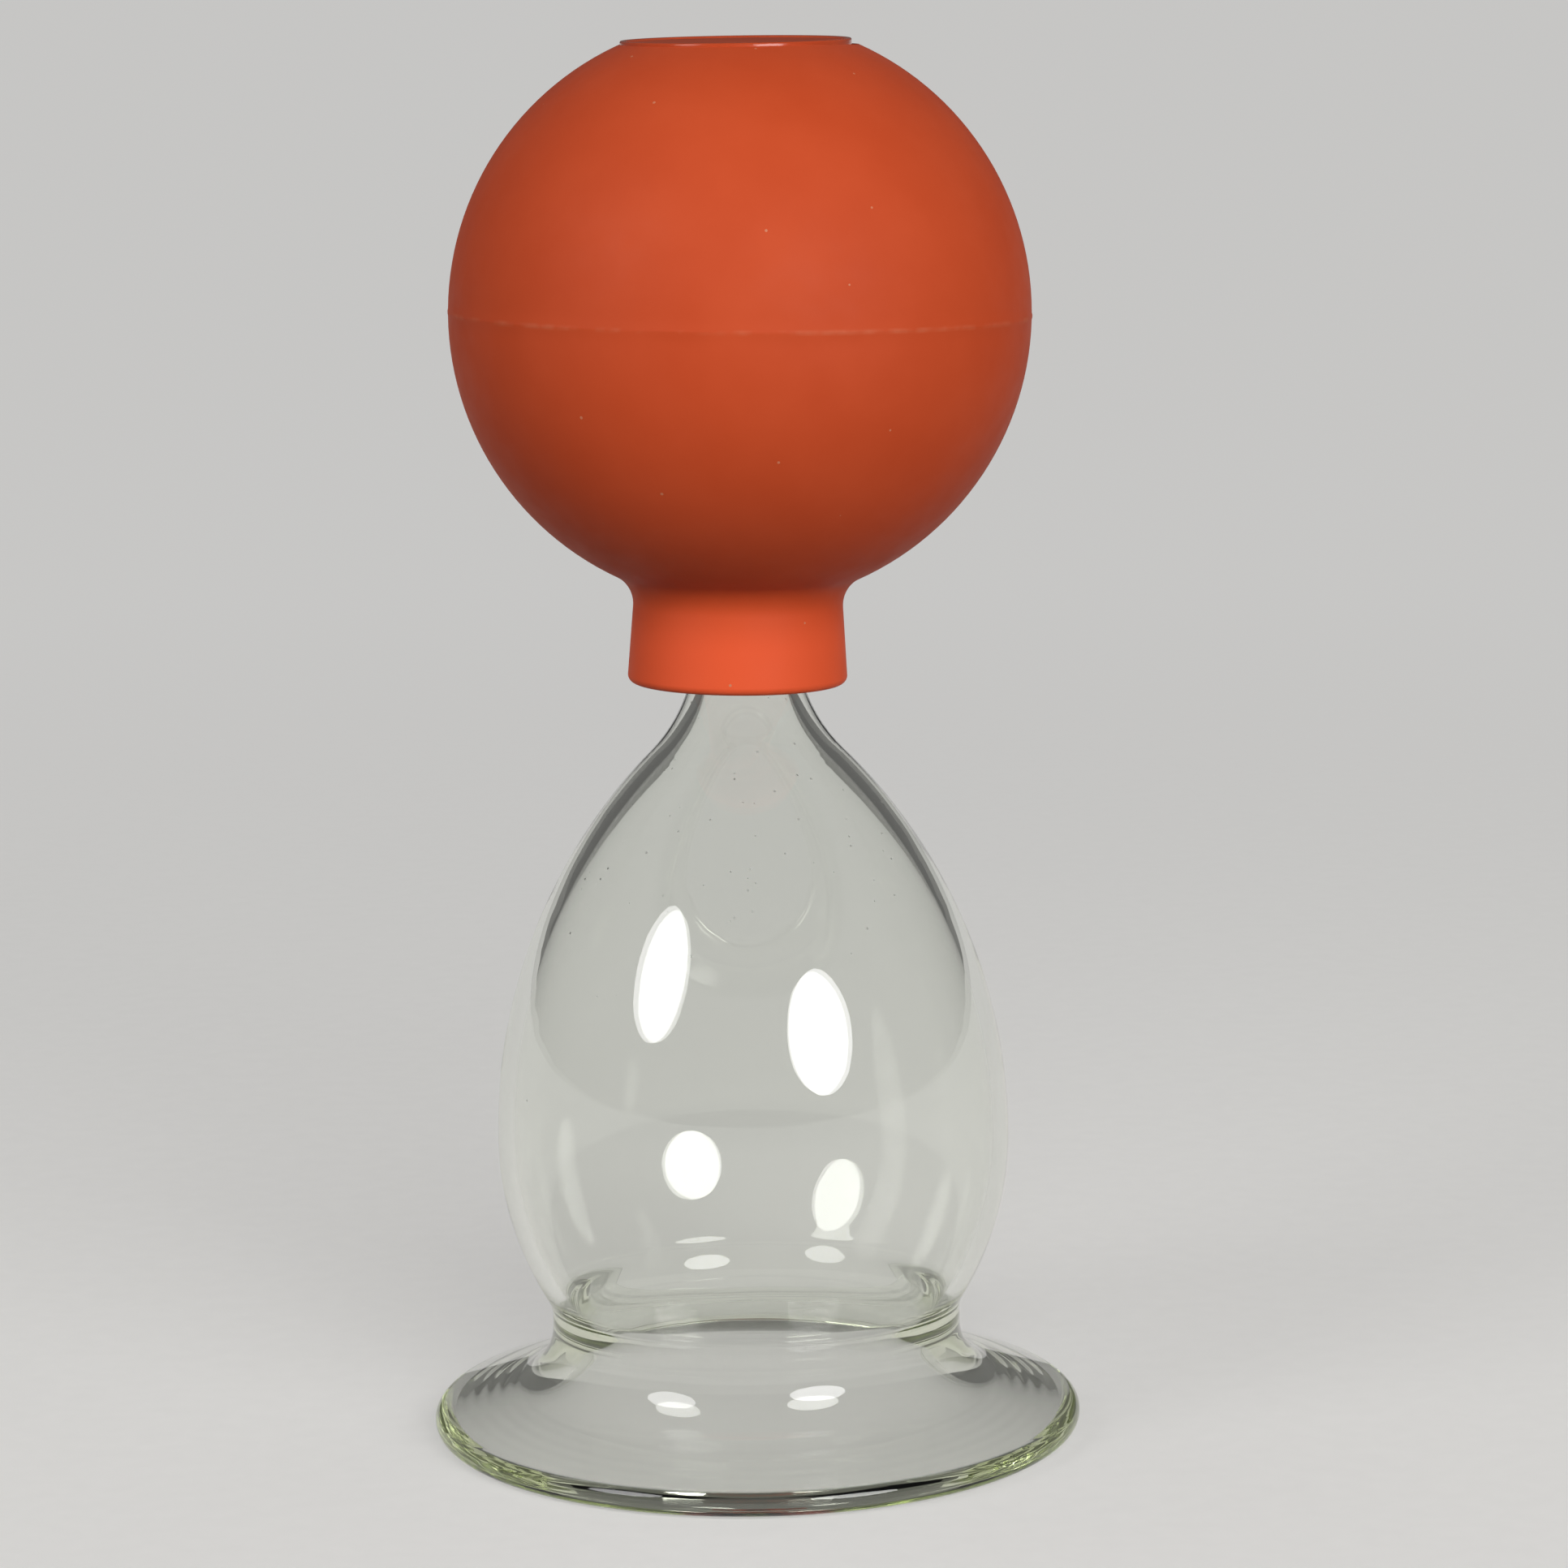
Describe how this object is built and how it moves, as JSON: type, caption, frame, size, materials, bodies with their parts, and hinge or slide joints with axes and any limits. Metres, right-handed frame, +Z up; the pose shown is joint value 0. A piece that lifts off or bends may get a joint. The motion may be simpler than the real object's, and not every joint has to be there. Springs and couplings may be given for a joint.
{
  "type": "cupping glass",
  "caption": "Dry-cupping glass: a blown glass bell with a flared rim and a hollow rubber ball on its neck, squeezed to draw suction on the skin.",
  "frame": {"origin": "centre of the rim's flat seat, on the surface that the glass stands on", "axes": "+Z up along the axis of the bell, neck and ball"},
  "size_m": [0.0686, 0.0686, 0.1462],
  "materials": {
    "clear_glass": "clear blown glass, fire polished",
    "orange_rubber": "matt moulded natural rubber",
    "polished_rubber": "smooth, slightly glossy"
  },
  "bodies": {
    "glass": {"glass_bell": "clear_glass"},
    "ball": {"rubber_ball": "orange_rubber"},
    "ball_end": {"end_disc": "polished_rubber"}
  },
  "joints": [
    {"name": "ball_pull", "type": "slide", "parent": "glass", "child": "ball", "axis": [0, 0, 1], "range_m": [0, 0.025]},
    {"name": "ball_press", "type": "slide", "parent": "ball", "child": "ball_end", "axis": [0, 0, -1], "range_m": [0, 0.024], "stiffness_N_per_m": 400}
  ]
}
